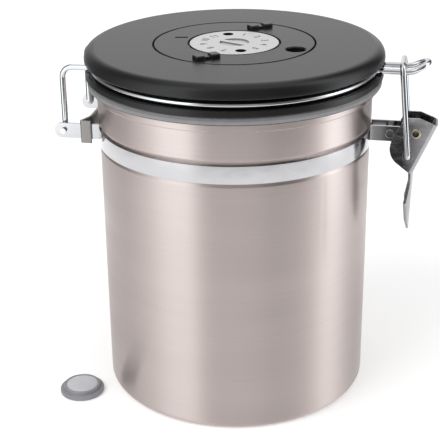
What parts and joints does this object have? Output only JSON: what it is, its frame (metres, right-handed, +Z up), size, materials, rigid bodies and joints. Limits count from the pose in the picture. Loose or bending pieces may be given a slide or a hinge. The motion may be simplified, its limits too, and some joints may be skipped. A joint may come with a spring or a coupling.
{
  "type": "coffee canister with valve",
  "caption": "Round brushed steel coffee canister with a wire-hinged black lid, date dials, a cam-lever clasp, a one-way valve in the lid and a spare valve beside it.",
  "frame": {"origin": "middle of the base, in the plane that the canister stands on", "axes": "+Z up along the canister's axis, +X towards the clasp, -X towards the hinge"},
  "size_m": [0.1702, 0.134, 0.1648],
  "materials": {
    "brushed_steel": "vertical brushed grain, warm grey",
    "chrome_band": "polished",
    "brushed_strap": "brushed",
    "rivet_steel": "polished",
    "chrome_lever": "polished",
    "chrome_wire": "polished",
    "black_plastic": "fine matte grain with a soft sheen",
    "nub_plastic": "satin",
    "light_plastic": "satin",
    "grey_silicone": "matte, slightly cloudy",
    "valve_silicone": "matte",
    "dome_silicone": "matte",
    "screw_steel": "zinc plated"
  },
  "bodies": {
    "can": {"can_shell": "brushed_steel", "neck_band_front": "chrome_band", "neck_band_rear": "chrome_band", "hinge_tie_strap": "brushed_strap", "arm_rivet": "rivet_steel", "arm_spacer": "rivet_steel", "lever_pivot_rivet": "rivet_steel"},
    "lid": {"lid_wire": "chrome_wire", "lid_base": "black_plastic", "gasket": "grey_silicone", "lid_cover": "black_plastic", "lid_screws": "screw_steel", "valve_seat": "black_plastic", "valve_guard": "nub_plastic", "valve_body": "valve_silicone", "valve_dome": "dome_silicone"},
    "date_ring": {"date_ring": "black_plastic", "thumb_nubs": "nub_plastic"},
    "month_dial": {"month_dial": "light_plastic", "dial_retainer": "screw_steel"},
    "lever": {"lever": "chrome_lever", "link_eyelets": "rivet_steel"},
    "link": {"clasp_link": "chrome_wire"},
    "spare_valve": {"spare_valve_body": "valve_silicone", "spare_valve_dome": "dome_silicone"}
  },
  "joints": [
    {"name": "lid_hinge", "type": "hinge", "parent": "can", "child": "lid", "pos_m": [-0.0746, 0, 0.12525], "axis": [0, -1, 0], "range_deg": [0, 110]},
    {"name": "date_ring_turn", "type": "hinge", "parent": "lid", "child": "date_ring", "pos_m": [0, 0, 0.161], "axis": [0, 0, 1], "continuous": true},
    {"name": "month_dial_turn", "type": "hinge", "parent": "lid", "child": "month_dial", "pos_m": [0, 0, 0.161], "axis": [0, 0, 1], "continuous": true},
    {"name": "lever_open", "type": "hinge", "parent": "can", "child": "lever", "pos_m": [0.0821, 0, 0.1262], "axis": [0, -1, 0], "range_deg": [0, 130]},
    {"name": "link_swing", "type": "hinge", "parent": "lever", "child": "link", "pos_m": [0.0791, 0, 0.1153], "axis": [0, -1, 0], "range_deg": [-130, 0]},
    {"name": "spare_valve_lift", "type": "slide", "parent": "can", "child": "spare_valve", "axis": [0, 0, 1], "range_m": [0, 0.05]}
  ],
  "couplings": [
    {"joint": "link_swing", "follows": "lever_open", "ratio": -0.88}
  ]
}
